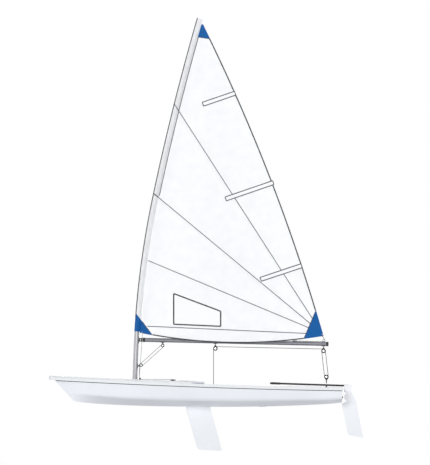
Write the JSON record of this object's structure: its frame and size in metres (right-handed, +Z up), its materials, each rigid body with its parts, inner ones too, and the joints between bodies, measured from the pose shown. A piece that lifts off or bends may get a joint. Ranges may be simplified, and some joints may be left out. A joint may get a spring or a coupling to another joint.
{
  "type": "single-handed sailing dinghy",
  "caption": "Small decked sailing boat for one person: unstayed bending mast in a luff sleeve, loose-footed boom, sliding daggerboard and lifting rudder.",
  "frame": {"origin": "amidships on the centreline, at the surface of the water the boat floats in", "axes": "+X aft, +Y to starboard, +Z up"},
  "size_m": [4.5195, 1.37, 6.233],
  "materials": {
    "hull_gelcoat": "gloss",
    "deck_gelcoat": "satin",
    "foil_gelcoat": "gloss",
    "spar_aluminium": "satin",
    "sailcloth": "satin",
    "blue_cloth": "satin",
    "window_film": "gloss",
    "black_plastic": "satin",
    "black_metal": "satin",
    "white_metal": "satin",
    "rope_cover": "matte",
    "webbing": "matte",
    "stainless": "brushed",
    "grip_rubber": "matte"
  },
  "bodies": {
    "hull": {"hull": "hull_gelcoat", "deck": "deck_gelcoat", "daggerboard_case": "deck_gelcoat", "mast_step": "deck_gelcoat", "bow_eye": "stainless", "gudgeons": "stainless", "fairleads": "black_plastic", "traveller_rope": "rope_cover", "traveller_block": "black_plastic", "ratchet_block": "black_plastic", "deck_sheaves": "black_plastic", "toe_strap": "webbing", "mainsheet_tail": "rope_cover", "mainsheet_falls": "rope_cover", "mainsheet_deck_fall": "rope_cover", "control_cleats": "black_plastic", "drain_plug": "black_plastic"},
    "rudder": {"rudder_head": "white_metal", "tiller": "spar_aluminium", "tiller_extension": "spar_aluminium", "extension_joint": "grip_rubber"},
    "rudder_blade": {"rudder_blade": "foil_gelcoat"},
    "daggerboard": {"daggerboard": "foil_gelcoat", "daggerboard_head": "foil_gelcoat"},
    "rig": {"batten_pockets": "sailcloth", "boom": "spar_aluminium", "boom_caps": "black_plastic", "boom_end_block": "black_plastic", "boom_middle_block": "black_plastic", "clew_fittings": "black_plastic", "gooseneck": "black_metal", "luff_sleeve": "sailcloth", "mainsheet_boom_run": "rope_cover", "mast_lower": "spar_aluminium", "mast_upper": "spar_aluminium", "rig_sheaves": "black_plastic", "sail_clew_patch": "blue_cloth", "sail_cloth": "sailcloth", "sail_head_patch": "blue_cloth", "sail_tack_patch": "blue_cloth", "sail_window": "window_film", "vang_boom_block": "black_plastic", "vang_mast_block": "black_plastic", "vang_rope": "rope_cover"}
  },
  "joints": [
    {"name": "mast_turn", "type": "hinge", "parent": "hull", "child": "rig", "pos_m": [-0.8915, 0, -0.02], "axis": [0.0361, 0, 0.9993], "range_deg": [-90, 90], "deforming": ["mainsheet_falls", "mainsheet_deck_fall"]},
    {"name": "rudder_turn", "type": "hinge", "parent": "hull", "child": "rudder", "pos_m": [2.147, 0, 0.022], "axis": [0, 0, 1], "range_deg": [-45, 45]},
    {"name": "blade_lift", "type": "hinge", "parent": "rudder", "child": "rudder_blade", "pos_m": [2.196, 0, 0.07], "axis": [0, -1, 0], "range_deg": [0, 90]},
    {"name": "board_lift", "type": "slide", "parent": "hull", "child": "daggerboard", "axis": [-0.2622, 0, 0.965], "range_m": [0, 0.5]}
  ]
}
